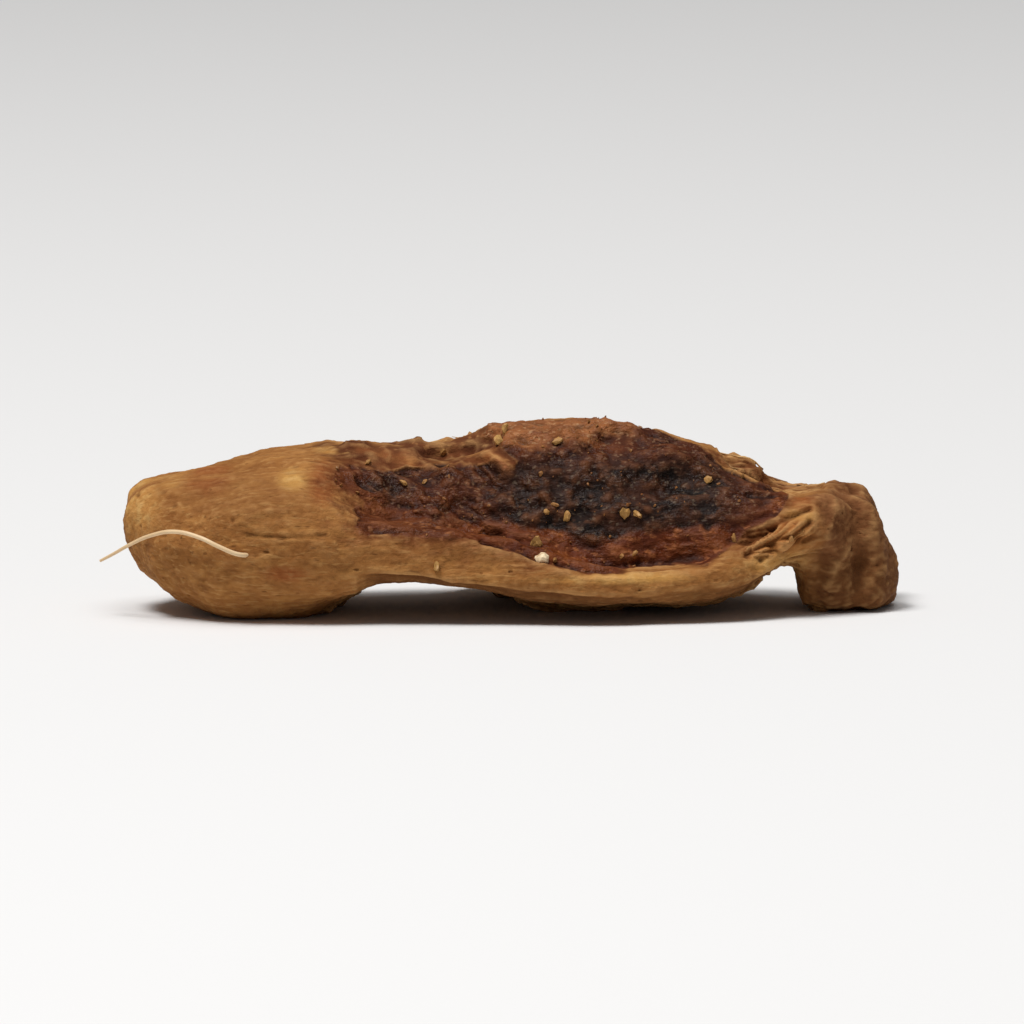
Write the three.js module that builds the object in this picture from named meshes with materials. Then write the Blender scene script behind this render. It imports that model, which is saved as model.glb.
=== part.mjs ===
import * as THREE from 'three';
import { ImprovedNoise } from 'three/addons/math/ImprovedNoise.js';

// One dried, cut chip of calamus root: a thick splinter from the outside of the rhizome.
// Millimetres. X runs along the grain, -Y is the side that still has its bark, and +Z is up.
// The chip lies on its cut underside at z = 0, like a low bridge between a lobe and a foot.
// Its origin is on the ground, in the middle of its length and depth.

// The whole rhizome, which the bark still follows
const rhizomeRadius = 7;
const rhizomeAxisY = 4.4;
const rhizomeAxisZ = 0.3;

// The broken top, which leans down to the back
const topHeight = alongChip([
  [-9, 4.7], [-5, 5.15], [-2.3, 5.2], [-1.6, 5.3], [-0.7, 5.75], [0.4, 5.85], [1.9, 6.1], [3.0, 6.0],
  [5.4, 5.25], [7.6, 4.35], [9.6, 3.4],
]);
const topLean = 0.16;
const crestY = -0.2;

// The split face at the back, as the depth of the chip at mid height, with a slight lean
const splitDepth = alongChip([
  [-12.5, 0.9], [-11, 2.2], [-8, 3.2], [-4, 3.3], [1.5, 4.3], [4, 4.1], [8, 3.1], [12.5, 2.8],
]);
const splitLean = 0.22;
const splitMiddleZ = 2.5;

// The underside: an arch along the front, and a heel behind that comes down to the ground
const archHeight = alongChip([
  [-6, 1.2], [-4.2, 1.25], [-0.7, 0.95], [0.8, 0.5], [5.5, 0.35], [7.9, 1.1], [8.9, 2.0], [9.5, 2.3],
]);
const heelX = 2.0;
const heelY = 3.4;
const heelHalfLength = 3.6;
const heelHalfDepth = 2.0;
const heelDrop = 1.1;
const underRoughness = 0.6;

// The two ends of the part that carries bark
const wedgeLeft = -8.0;
const wedgeRight = 10.3;

// The rim: a roll of flesh left standing along the lower edge of the bark
const rimLeft = -6.5;
const rimRight = 10.2;
const rimDepth = 0.95;
const rimFullness = 2.4;
const rimFront = alongChip([[-6, -3.6], [0, -3.75], [5, -3.6], [7.5, -2.8], [9.8, -1.6]]);
const rimHeight = alongChip([
  [-6, 2.2], [-2.4, 2.0], [0.6, 1.4], [2.8, 1.06], [5.5, 1.12], [7.5, 1.8], [8.8, 2.65], [9.8, 3.2],
]);
const rimHalfThickness = alongChip([[-6, 1.15], [0.6, 0.9], [2.8, 0.74], [6.0, 0.74], [8.5, 0.95]]);

// The lobe: the bare, rounded left end, whose underside rises towards its tip
const lobeX = -7.3;
const lobeY = -0.2;
const lobeToTip = 5.3;
const lobeToWedge = 2.75;
const lobeHalfDepth = 3.75;
const lobeHalfHeight = 2.6;
const lobeFullness = 2.05;
const lobeMiddle = alongChip([[-12.5, 2.75], [-10.2, 2.35], [-8.5, 2.25], [-5, 2.4]]);

// The foot: the rounded right end, set a little further back, with a heavier lower corner and a
// shallow fold down its front
const foot = new THREE.Vector3(10.4, 0.9, 1.8);
const footHalfSize = new THREE.Vector3(1.33, 2.3, 1.92);
const footCorner = new THREE.Vector3(11.25, 0.8, 0.95);
const footCornerHalfSize = new THREE.Vector3(1.15, 1.5, 0.95);
const footFullness = 3.9;
const footDepthFullness = 2.5;
const footCornerFullness = 2;
const footFoldX = 10.9;
const footFoldWidth = 0.35;
const footFoldDepth = 0.34;
const footFoldFull = 1.1;
const footFoldFadeFrom = 2.2;
const footFoldFadeTo = 3.4;

// The leaf scar: a step in the bark that runs down from the crest, across the grain, and fades
const scarTopX = -1.4;
const scarTopZ = 6.0;
const scarLean = 0.8;
const scarStep = 0.3;
const scarWidth = 0.9;
const scarFadeFrom = 5.0;
const scarFadeTo = 3.0;

// Relief: its height, and its size along and across the grain; start keeps two patterns apart.
// A furrow between two folds is as deep as the fold's height times the furrow depth.
const furrowDepth = 4;
const barkWrinkles = { height: 0.19, along: 8.3, across: 1.6, start: 3.7 };
const barkFurrows = { height: 0.12, along: 5.0, across: 1.65, start: 8.2 };
const barkLumps = { height: 0.28, along: 1.3, across: 1.3, start: 1.4 };
const barkDrift = { height: 1.1, along: 3.3, across: 3.3, start: 2.9 };
const wrinkleSlant = 0.8;
const wrinklesEnd = -1.5;
const furrowsBegin = 2.5;
const splitStrands = { height: 0.15, along: 9, across: 2.0, start: 2.2 };
const splitDrift = { height: 2.0, along: 5, across: 3.3, start: 5.5 };
const splitLedges = { height: 0.5, along: 5, across: 2.5, start: 7.7 };
const splitLedgeSlope = 0.15;
const splitCrumbs = { height: 0.25, along: 1.2, across: 0.9, start: 4.1 };
const splitSink = 0.25;
const fleshSwells = { height: 0.3, along: 3.3, across: 2.5, start: 9.4 };
const fleshGrain = { height: 0.16, along: 2.9, across: 1.1, start: 6.3 };

// Edges: how far each is worn round, or filled in, where two surfaces meet
const barkWear = 0.8;
const endWear = 1.2;
const splitWear = 0.5;
const rimFillet = 0.3;
const footFillet = 0.8;
const bodyFillet = 1.0;

// Mesh: one point for each small cell that the surface passes through
const cellSize = 0.4;
const gridLow = new THREE.Vector3(-13.6, -5.0, -0.6);
const gridCells = { x: 68, y: 26, z: 19 };
const cornerDepth = 0.03;
const settleSteps = 3;

const noise = new ImprovedNoise();

// A smooth line through [x, value] stations, level beyond the first and the last
function alongChip(stations) {
  const places = stations.map(([x]) => x);
  const values = stations.map(([, value]) => value);
  const line = new THREE.CubicInterpolant(places, values, 1);
  return (x) => line.evaluate(x)[0];
}

// Joins two bodies, given as distances to their surfaces, with a fillet between them
function join(a, b, fillet) {
  const overlap = Math.max(fillet - Math.abs(a - b), 0) / fillet;
  return Math.min(a, b) - overlap * overlap * fillet / 4;
}

// Cuts one body with another and wears the edge round
function cut(a, b, wear) {
  return -join(-a, -b, wear);
}

// Distance to a rounded lump: power 2 is an ellipsoid, a higher power is fuller at its corners. Its
// outline from the front can be fuller than its depth.
function lump(x, y, z, halfSize, power, depthPower = power) {
  const front = (Math.abs(x / halfSize.x) ** power + Math.abs(z / halfSize.z) ** power) ** (1 / power);
  const reach = (front ** depthPower + Math.abs(y / halfSize.y) ** depthPower) ** (1 / depthPower);
  return (reach - 1) * Math.min(halfSize.x, halfSize.y, halfSize.z);
}

// One pattern of relief at a place: swells up to its height, or folds with sharp furrows
function swells(pattern, x, y, z) {
  const { height, along, across, start } = pattern;
  return noise.noise(x / along + start, y / across, z / across) * height;
}

function foldsOf(pattern, x, y, z) {
  return pattern.height - Math.abs(swells(pattern, x, y, z)) * furrowDepth;
}

// Bark: slanting wrinkles on the left, furrows along the grain on the right, and the leaf scar
function barkRelief(x, y, z) {
  const round = Math.atan2(z - rhizomeAxisZ, rhizomeAxisY - y) * rhizomeRadius;
  const drifted = round + swells(barkDrift, x, round, 0);
  const slanting = foldsOf(barkWrinkles, x, drifted + wrinkleSlant * x, 0);
  const lengthwise = foldsOf(barkFurrows, x, drifted, 0);
  const rightward = THREE.MathUtils.smoothstep(x, wrinklesEnd, furrowsBegin);
  const folds = THREE.MathUtils.lerp(slanting, lengthwise, rightward);
  const pastScar = x - scarTopX - scarLean * (scarTopZ - z);
  const scar = THREE.MathUtils.smoothstep(pastScar, -scarWidth / 2, scarWidth / 2) - 0.5;
  const scarFade = THREE.MathUtils.smoothstep(z, scarFadeTo, scarFadeFrom);
  return folds + swells(barkLumps, x, round, 0) + scar * scarStep * scarFade;
}

// A split face: strands along the grain, on ledges of broken, crumbly ground
function splitRelief(x, y, z) {
  const strands = foldsOf(splitStrands, x, y + swells(splitDrift, x, y, z), z);
  const ledge = swells({ ...splitLedges, height: 1 }, x, y, z);
  const ledges = THREE.MathUtils.smoothstep(ledge, -splitLedgeSlope, splitLedgeSlope) * splitLedges.height;
  return strands + ledges + swells(splitCrumbs, x, y, z) - splitSink;
}

// Smooth cut flesh: shallow swells with a faint grain
function fleshRelief(x, y, z) {
  return swells(fleshSwells, x, y, z) + swells(fleshGrain, x, y, z);
}

// The part that carries bark, with its broken top, arched underside and two ends
function wedgeDistance(x, y, z) {
  const bark = Math.hypot(y - rhizomeAxisY, z - rhizomeAxisZ) - rhizomeRadius - barkRelief(x, y, z);
  const top = z - topHeight(x) + topLean * (y - crestY) - splitRelief(x, y, z);
  const heel = Math.exp(-(((x - heelX) / heelHalfLength) ** 4) - ((y - heelY) / heelHalfDepth) ** 2);
  const under = archHeight(x) - heel * heelDrop - z - fleshRelief(x, y, z) * underRoughness;
  const ends = Math.max(wedgeLeft - x, x - wedgeRight);
  return cut(cut(cut(bark, top, barkWear), under, barkWear), ends, endWear);
}

// The rim, an oval roll that follows the bark's lower edge
function rimDistance(x, y, z) {
  const across = y - rimFront(x) - rimDepth;
  const thickness = rimHalfThickness(x);
  const halfSize = new THREE.Vector3(1, rimDepth, thickness);
  const roll = lump(0, across, z - rimHeight(x), halfSize, rimFullness) - fleshRelief(x, y, z);
  return cut(roll, Math.max(rimLeft - x, x - rimRight), endWear);
}

// The lobe, longer towards its tip than towards the wedge
function lobeDistance(x, y, z) {
  const offset = x - lobeX;
  const halfSize = new THREE.Vector3(offset < 0 ? lobeToTip : lobeToWedge, lobeHalfDepth, lobeHalfHeight);
  return lump(offset, y - lobeY, z - lobeMiddle(x), halfSize, lobeFullness) - fleshRelief(x, y, z);
}

// The foot, an upright rounded lump with a bulge at its outer lower corner and a fold down it
function footDistance(x, y, z) {
  const upright = lump(
    x - foot.x, y - foot.y, z - foot.z, footHalfSize, footFullness, footDepthFullness,
  );
  const corner = lump(
    x - footCorner.x, y - footCorner.y, z - footCorner.z, footCornerHalfSize, footCornerFullness,
  );
  const foldRise = THREE.MathUtils.smoothstep(z, 0, footFoldFull);
  const foldFade = 1 - THREE.MathUtils.smoothstep(z, footFoldFadeFrom, footFoldFadeTo);
  const fold = Math.exp(-(((x - footFoldX) / footFoldWidth) ** 2)) * footFoldDepth * foldRise * foldFade;
  return join(upright, corner, footFillet) + fold - fleshRelief(x, y, z);
}

// The whole chip: its bodies joined, split off behind, and flattened where it meets the ground
function chipDistance(x, y, z) {
  const wedge = join(wedgeDistance(x, y, z), rimDistance(x, y, z), rimFillet);
  const ends = Math.min(lobeDistance(x, y, z), footDistance(x, y, z));
  const split = y - splitDepth(x) + splitLean * (z - splitMiddleZ) - splitRelief(x, y, z);
  return Math.max(cut(join(wedge, ends, bodyFillet), split, splitWear), -z);
}

// Visits every corner of the grid of cells; a step along an axis adds its stride to the number
const cornerCounts = [gridCells.x + 1, gridCells.y + 1, gridCells.z + 1];
const strides = [1, cornerCounts[0], cornerCounts[0] * cornerCounts[1]];
const axes = [0, 1, 2];

function eachCorner(visit) {
  for (let k = 0; k < cornerCounts[2]; k += 1) {
    for (let j = 0; j < cornerCounts[1]; j += 1) {
      for (let i = 0; i < cornerCounts[0]; i += 1) {
        visit([i, j, k], i + j * strides[1] + k * strides[2]);
      }
    }
  }
}

function isLast(corner, axis) {
  return corner[axis] === cornerCounts[axis] - 1;
}

function placeOf(corner) {
  return new THREE.Vector3(...corner).multiplyScalar(cellSize).add(gridLow);
}

// Distance at each corner; one almost on the surface counts as inside, so no edge is very short
function measureCorners() {
  const distances = new Float64Array(cornerCounts[0] * cornerCounts[1] * cornerCounts[2]);
  eachCorner((corner, at) => {
    const { x, y, z } = placeOf(corner);
    const distance = chipDistance(x, y, z);
    distances[at] = Math.abs(distance) < cornerDepth ? -cornerDepth : distance;
  });
  return distances;
}

// A cell face whose corners are in and out by turns would pinch the surface, so it is filled
function fillPinches(distances) {
  let filled = 0;
  eachCorner((corner, at) => {
    for (const axis of axes) {
      const [second, third] = [(axis + 1) % 3, (axis + 2) % 3];
      if (isLast(corner, second) || isLast(corner, third)) {
        continue;
      }
      const across = at + strides[second];
      const face = [at, across, across + strides[third], at + strides[third]];
      const inside = face.map((number) => distances[number] < 0);
      if (inside[0] === inside[2] && inside[1] === inside[3] && inside[0] !== inside[1]) {
        distances[face[inside[0] ? 1 : 0]] = -cornerDepth;
        filled += 1;
      }
    }
  });
  return filled;
}

// Moves a point near the surface onto it, up or down the slope of the distance, but not far
function settle(middle) {
  const point = middle.clone();
  const probe = cellSize / 10;
  for (let step = 0; step < settleSteps; step += 1) {
    const { x, y, z } = point;
    const distance = chipDistance(x, y, z);
    const slope = new THREE.Vector3(
      chipDistance(x + probe, y, z) - distance,
      chipDistance(x, y + probe, z) - distance,
      chipDistance(x, y, z + probe) - distance,
    ).divideScalar(probe);
    point.addScaledVector(slope, -distance / Math.max(slope.lengthSq(), 1));
  }
  point.sub(middle).clampLength(0, cellSize / 4).add(middle);
  point.z = Math.max(point.z, 0);
  return point;
}

// Each cell that the surface passes through gets one point, amid the crossings of its edges
function placePoints(distances) {
  const points = [];
  const pointOfCell = new Map();
  eachCorner((corner, at) => {
    if (axes.some((axis) => isLast(corner, axis))) {
      return;
    }
    const crossings = [];
    for (const axis of axes) {
      for (const [acrossSecond, acrossThird] of [[0, 0], [1, 0], [0, 1], [1, 1]]) {
        const start = [...corner];
        start[(axis + 1) % 3] += acrossSecond;
        start[(axis + 2) % 3] += acrossThird;
        const low = start[0] + start[1] * strides[1] + start[2] * strides[2];
        const high = low + strides[axis];
        if (distances[low] < 0 !== distances[high] < 0) {
          start[axis] += distances[low] / (distances[low] - distances[high]);
          crossings.push(placeOf(start));
        }
      }
    }
    if (crossings.length > 0) {
      const sum = crossings.reduce((total, crossing) => total.add(crossing), new THREE.Vector3());
      pointOfCell.set(at, points.length);
      points.push(settle(sum.divideScalar(crossings.length)));
    }
  });
  return { points, pointOfCell };
}

// The four cells round a crossed edge share a patch of two triangles, which faces outwards
function stitchPatches(distances, points, pointOfCell) {
  const triangles = [];
  eachCorner((corner, at) => {
    for (const axis of axes) {
      const inside = distances[at] < 0;
      if (isLast(corner, axis) || inside === distances[at + strides[axis]] < 0) {
        continue;
      }
      const second = strides[(axis + 1) % 3];
      const third = strides[(axis + 2) % 3];
      const cells = [at, at - second, at - second - third, at - third];
      if (!inside) {
        cells.reverse();
      }
      const [a, b, c, d] = cells.map((cell) => pointOfCell.get(cell));
      if (points[a].distanceTo(points[c]) < points[b].distanceTo(points[d])) {
        triangles.push(a, b, c, a, c, d);
      } else {
        triangles.push(a, b, d, b, c, d);
      }
    }
  });
  return triangles;
}

// The chip's closed surface, with the origin in the middle under it
function chipGeometry() {
  const distances = measureCorners();
  while (fillPinches(distances) > 0);
  const { points, pointOfCell } = placePoints(distances);
  const geometry = new THREE.BufferGeometry().setFromPoints(points);
  geometry.setIndex(stitchPatches(distances, points, pointOfCell));
  geometry.computeBoundingBox();
  const middle = geometry.boundingBox.getCenter(new THREE.Vector3());
  geometry.translate(-middle.x, -middle.y, 0);
  geometry.computeVertexNormals();
  return geometry;
}

const driedFlesh = new THREE.MeshStandardMaterial({ color: 0xa9753f, roughness: 0.9, metalness: 0 });

const chip = new THREE.Mesh(chipGeometry(), driedFlesh);
chip.name = 'calamus_root_chip';

const part = new THREE.Group();
part.add(chip);

export default part;
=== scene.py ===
"""One dried, cut chip of calamus root on a pale floor, with its bark, flesh, splinters and crumbs."""

import math

import bmesh
import bpy
import numpy as np
from mathutils import Euler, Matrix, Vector, noise
from mathutils.bvhtree import BVHTree


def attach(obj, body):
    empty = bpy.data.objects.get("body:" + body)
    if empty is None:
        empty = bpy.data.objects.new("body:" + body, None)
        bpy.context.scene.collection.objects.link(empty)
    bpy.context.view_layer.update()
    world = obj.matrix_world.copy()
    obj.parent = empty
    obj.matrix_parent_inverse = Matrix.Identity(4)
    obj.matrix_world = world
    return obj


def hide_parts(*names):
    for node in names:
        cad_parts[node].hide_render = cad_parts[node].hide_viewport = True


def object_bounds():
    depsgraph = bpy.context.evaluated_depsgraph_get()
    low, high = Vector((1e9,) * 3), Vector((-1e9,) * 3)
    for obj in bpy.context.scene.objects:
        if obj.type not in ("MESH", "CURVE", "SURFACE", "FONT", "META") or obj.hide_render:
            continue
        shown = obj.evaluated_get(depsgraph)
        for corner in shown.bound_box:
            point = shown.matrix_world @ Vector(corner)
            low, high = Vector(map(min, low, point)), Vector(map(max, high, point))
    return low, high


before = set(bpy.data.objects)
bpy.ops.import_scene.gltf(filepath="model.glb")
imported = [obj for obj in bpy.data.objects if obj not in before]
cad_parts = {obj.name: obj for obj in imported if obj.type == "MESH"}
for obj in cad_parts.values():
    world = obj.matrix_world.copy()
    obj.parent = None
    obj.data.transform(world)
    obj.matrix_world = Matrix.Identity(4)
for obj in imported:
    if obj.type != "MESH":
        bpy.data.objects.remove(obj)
cad_low, cad_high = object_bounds()


# Camera
# The photograph was taken from just above the level of the paper, square to the chip's bark. The
# camera keeps that angle with a long lens, and stands where the chip fills three quarters of the
# picture's width.
camera_rise = math.radians(8)
camera_distance = 0.45
chip_share_of_width = 0.76
chip_middle = (cad_low + cad_high) / 2
picture_width = (cad_high.x - cad_low.x) / chip_share_of_width


def new_object(name, data):
    """A mesh, curve, lamp or camera as an object in the scene."""
    made = bpy.data.objects.new(name, data)
    bpy.context.scene.collection.objects.link(made)
    return made


camera_data = bpy.data.cameras.new("camera")
camera_data.lens = camera_data.sensor_width * camera_distance / picture_width
camera_data.clip_start = 0.01
camera = new_object("camera", camera_data)
camera.rotation_euler = (math.pi / 2 - camera_rise, 0, 0)
camera_back = Vector((0, -math.cos(camera_rise), math.sin(camera_rise)))
camera.location = chip_middle + camera_back * camera_distance
bpy.context.scene.camera = camera


# The chip
# A thick splinter from the outside of a dried calamus rhizome, cut by hand and dried hard. Its
# front keeps the dark wrinkled bark, with a reddish layer, the cortex, showing along its edge.
# The lobe, the rim, the foot and the split top, back and underside are bare, fibrous flesh.

# Sizes and places are in millimetres, with X along the grain, -Y towards the bark and Z up
MM = 0.001

# The whole rhizome, whose round outside the bark still follows, how thick the bark is, and how far
# its surface can turn to the back and still keep its bark
rhizome_radius = 7.0
rhizome_axis_y = 3.955
rhizome_axis_z = 0.3
bark_depth = 0.6
bark_faces_back = 0.62

# The two ends of the wedge that was split off the rhizome
wedge_left = -6.4
wedge_right = 10.2

# The bark's edges as heights along the chip: the lower one, the upper one to the left of the leaf
# scar, above which it is worn off, and the lower edge of the fold of bark that stands over it. The
# left edge passes through one place and leans to the left as it rises
bark_low = [
    (-5.0, 3.0), (-3.2, 2.9), (-1.4, 2.74), (-0.5, 2.55), (0.2, 2.33), (1.2, 1.98), (2.5, 1.7),
    (3.5, 1.7), (4.6, 1.8), (6.2, 1.83), (6.9, 2.35), (7.6, 2.85), (8.2, 3.2), (8.7, 3.7), (9.1, 4.4),
    (9.3, 5.8),
]
bark_high = [
    (-6.3, 4.95), (-5.0, 4.75), (-4.0, 4.7), (-3.0, 4.75), (-2.0, 4.78), (-1.2, 4.9), (-0.5, 4.95),
    (0.05, 4.75), (0.25, 5.2), (0.6, 6.6), (0.8, 9.0),
]
bark_fold = [(-2.4, 7.0), (-1.9, 5.7), (-1.4, 5.42), (-0.6, 5.38), (-0.2, 5.22), (0.2, 4.9)]
bark_left_x = -5.5
bark_left_z = 4.5
bark_left_lean = 0.6

# How high the cortex shows above the lower edge, and where the bark is rubbed at the crest
cortex_height = [
    (-5, 0.6), (-4, 0.6), (-2.4, 0.35), (-1.4, 0.25), (-0.3, 0.6), (0.7, 0.85), (2.6, 0.75),
    (4.9, 1.05), (6.0, 1.15), (6.6, 0.9), (7.4, 0.4), (9.5, 0.35),
]
rubbed_low = [(-2.0, 5.2), (0.6, 5.2), (1.2, 5.3), (2.0, 5.5), (2.9, 5.45), (3.8, 5.65), (4.8, 6.4)]

# Lines on the front, as (x, z) places, each with its half width and how far it stands out, or in
# if that is below zero
front_marks = {
    "curled lip at the leaf scar": (
        [(-3.4, 5.2), (-2.4, 5.22), (-1.5, 5.25), (-0.9, 5.2), (-0.5, 5.0), (-0.2, 4.75)], 0.16, 0.12,
    ),
    "crevice under the bark": ([(-0.9, 2.75), (-0.3, 2.6), (0.3, 2.42), (0.9, 2.2)], 0.12, -0.24),
    "lip over the crevice": ([(-0.8, 3.0), (-0.2, 2.88), (0.5, 2.75), (1.1, 2.5)], 0.16, 0.12),
    "fold down the foot": ([(11.0, 3.7), (11.0, 2.6), (11.15, 1.6)], 0.25, -0.14),
    "ridge beside that fold": ([(11.5, 3.7), (11.5, 2.6), (11.8, 1.4)], 0.28, 0.1),
    "crease across the lobe": ([(-8.4, 2.95), (-7.2, 2.9), (-5.9, 2.98)], 0.07, -0.06),
    "crack in the broken flesh": ([(7.5, 2.2), (8.2, 2.5), (8.9, 2.7), (9.5, 3.1)], 0.1, -0.2),
    "upper crack": ([(8.2, 3.0), (8.9, 3.3), (9.5, 3.5)], 0.08, -0.14),
}

# Pale streaks over the worn top of the bark, each with its half width and how strongly it shows; they are
# lighter partly in their own colour and partly as painted highlight
pale_streaks = [
    (front_marks["curled lip at the leaf scar"][0], 0.15, 1.0),
    ([(-4.9, 5.3), (-4.2, 5.15), (-3.6, 5.0), (-3.2, 4.85)], 0.13, 0.9),
]

# The corner at the top of the foot: (x, z, reach, height)
foot_corner = (11.5, 3.95, 0.6, 0.26)

# Round marks on the front: (x, z, radius, height)
front_pits = [
    (8.32, 2.33, 0.17, -0.22), (-12.0, 3.9, 0.09, -0.08), (-8.9, 3.4, 0.07, -0.06),
    (7.95, 1.95, 0.1, -0.1), (9.1, 2.65, 0.16, -0.2), (8.3, 2.95, 0.14, -0.16), (-10.6, 3.75, 0.08, 0.05),
    (-7.7, 3.75, 0.12, 0.05), (2.6, 4.68, 0.17, -0.1), (2.35, 4.85, 0.2, 0.1), (2.85, 4.5, 0.15, 0.09),
]

# Ovals on the front where a finish shows, or shows more: (x, z, half width, half height)
patches = {
    "broken": [(8.4, 2.65, 1.3, 0.7)],
    "rusty": [
        (-9.8, 4.5, 0.9, 0.45), (9.3, 3.9, 0.6, 0.5), (8.6, 2.95, 0.7, 0.3), (-6.0, 4.4, 0.5, 0.6),
        (-7.2, 1.7, 0.7, 0.3),
    ],
    # Painted shade, partly browner flesh, on the foot's lower front; the next oval only makes the lobe's
    # upper middle a little darker
    "browned_and_painted_shade": [(10.9, 0.8, 1.9, 1.3)],
    "faintly_darker": [(-8.6, 4.0, 2.6, 0.7)],
    "inky": [(-4.0, 4.15, 1.1, 0.45)],
    # Painted highlight, partly paler flesh: on the lobe's tip and top edges, the broken flesh and the
    # rim's upper lip
    "paler_flesh_and_painted_highlight": [
        (-12.0, 3.8, 0.8, 1.2), (-11.2, 4.5, 0.9, 0.35), (8.6, 1.9, 1.2, 0.45), (9.0, 3.3, 0.8, 0.2),
        (3.2, 1.5, 2.6, 0.14), (-7.0, 4.5, 0.5, 0.28), (-5.7, 5.2, 0.7, 0.2),
    ],
}

# Where along the chip the foot's darker flesh starts, partly browner and partly painted shade
foot_starts = 9.4

# How far the rim's underside is rubbed in along the chip, which leaves its lower edge thin, and how
# strongly that underside is darkened as painted shade
underside_rubbed = [
    (-5.0, 0.0), (-4.2, 0.25), (-3.2, 0.36), (-0.5, 0.36), (0.5, 0.3), (1.5, 0.24), (3.0, 0.2),
    (5.0, 0.14), (7.0, 0.2), (8.0, 0.3), (8.8, 0.1), (9.2, 0.0),
]

# How many times the solid's faces are halved each way, and the share of them that is kept at the end
chip_halvings = 3
chip_faces_kept = 0.33


def line_through(stations):
    """A line through (x, value) stations, as a function that takes many x at once."""
    xs, values = zip(*stations)
    return lambda x: np.interp(x, xs, values)


def smooth(values, low, high):
    """0 below low, 1 above high, and a smooth change between."""
    share = np.clip((values - low) / (high - low), 0, 1)
    return share * share * (3 - 2 * share)


def bump_near(values, width):
    """1 at 0, and down to nothing about two widths away."""
    return np.exp(-(values / width) ** 2)


def swells(points, along, across, start):
    """Smooth swells from about -1 to 1, of these sizes along and across the grain.

    Each use has a start of its own, so that no two of them rise and fall together.
    """
    scaled = points / (along, across, across) + start
    return np.array([noise.noise(point) for point in scaled.tolist()]) * 1.6


def folds(points, along, across, start):
    """Sharp ridges at 1 with broad furrows between them."""
    return 1 - 2 * np.abs(swells(points, along, across, start))


def terraces(values, step):
    """The values drawn into flat steps, with short and steep rises between them."""
    level = np.floor(values / step)
    return (level + smooth(values / step - level, 0.35, 0.6)) * step


def grains(points, size, start):
    """Rounded grains: 1 at the middle of each, 0 between them."""
    scaled = points / size + start
    gaps = np.array([noise.voronoi(point)[0][:2] for point in scaled.tolist()])
    return np.clip(gaps[:, 1] - gaps[:, 0], 0, 1)


def distance_to_line(points, line):
    """How far points are from a line of (x, z) places, seen from the front."""
    nearest = np.full(len(points), np.inf)
    flat = points[:, [0, 2]]
    for start, end in zip(line[:-1], line[1:]):
        way = np.subtract(end, start)
        share = np.clip((flat - start) @ way / (way @ way), 0, 1)
        nearest = np.minimum(nearest, np.linalg.norm(flat - start - share[:, None] * way, axis=1))
    return nearest


def in_ovals(points, ovals):
    """1 in the middle of any of the ovals, seen from the front, and 0 outside them."""
    shares = [np.zeros(len(points))]
    for x, z, wide, high in ovals:
        reach = np.hypot((points[:, 0] - x) / wide, (points[:, 2] - z) / high)
        shares.append(1 - smooth(reach, 0.4, 1.3))
    return np.maximum.reduce(shares)


def read_vertices(mesh, name, field):
    """Three numbers for each vertex of the mesh, as rows."""
    values = np.empty(len(mesh.vertices) * 3, np.float32)
    getattr(mesh, name).foreach_get(field, values)
    return values.reshape(-1, 3).astype(float)


def applied_mesh(thing):
    """The mesh that an object has with its modifiers, or a curve with its thickness."""
    return bpy.data.meshes.new_from_object(thing.evaluated_get(bpy.context.evaluated_depsgraph_get()))


def fine_copy(node, halvings):
    """The node's faces as quads, cut finer and rounded, as a new mesh."""
    shape = bmesh.new()
    shape.from_mesh(node.data)
    bmesh.ops.remove_doubles(shape, verts=shape.verts, dist=0.001 * MM)
    flat_enough = math.radians(80)
    bmesh.ops.join_triangles(
        shape, faces=shape.faces,
        angle_face_threshold=flat_enough, angle_shape_threshold=flat_enough,
    )
    coarse = bpy.data.meshes.new("coarse")
    shape.to_mesh(coarse)
    shape.free()
    holder = new_object("coarse", coarse)
    rounding = holder.modifiers.new("rounding", "SUBSURF")
    rounding.levels = halvings
    made = applied_mesh(holder)
    bpy.data.objects.remove(holder)
    return made


def depth_in_rhizome(points):
    """How deep points lie below the round outside of the whole rhizome."""
    return rhizome_radius - np.hypot(points[:, 1] - rhizome_axis_y, points[:, 2] - rhizome_axis_z)


def bark_edges(points):
    """How far points are inside each of the bark's edges, seen from the front, and how ragged it is.

    The edges are the lower one, the upper one, the one of the fold over that, and the left one.
    """
    x, _, z = points.T

    # Small teeth and broad bays, and a stretch along the rim where the lower edge runs calm
    ragged = swells(points, 0.9, 0.7, 3.1) * 0.1 + swells(points, 0.3, 0.3, 6.7) * 0.06
    bays = swells(points, 2.2, 1.4, 8.4) * 0.25
    calm = smooth(x, 0.5, 1.5) * (1 - smooth(x, 6.5, 7.5)) * 0.6
    return {
        "ragged": ragged,
        "bays": bays,
        "calm": calm,
        "above": z - line_through(bark_low)(x) + ragged * (1 - calm),
        "under": line_through(bark_high)(x) - z + ragged,
        "over": z - line_through(bark_fold)(x) + ragged,
        "right": (x - bark_left_x + (z - bark_left_z) * bark_left_lean) * 0.85 + ragged * 3 + bays * 1.6,
    }


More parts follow.
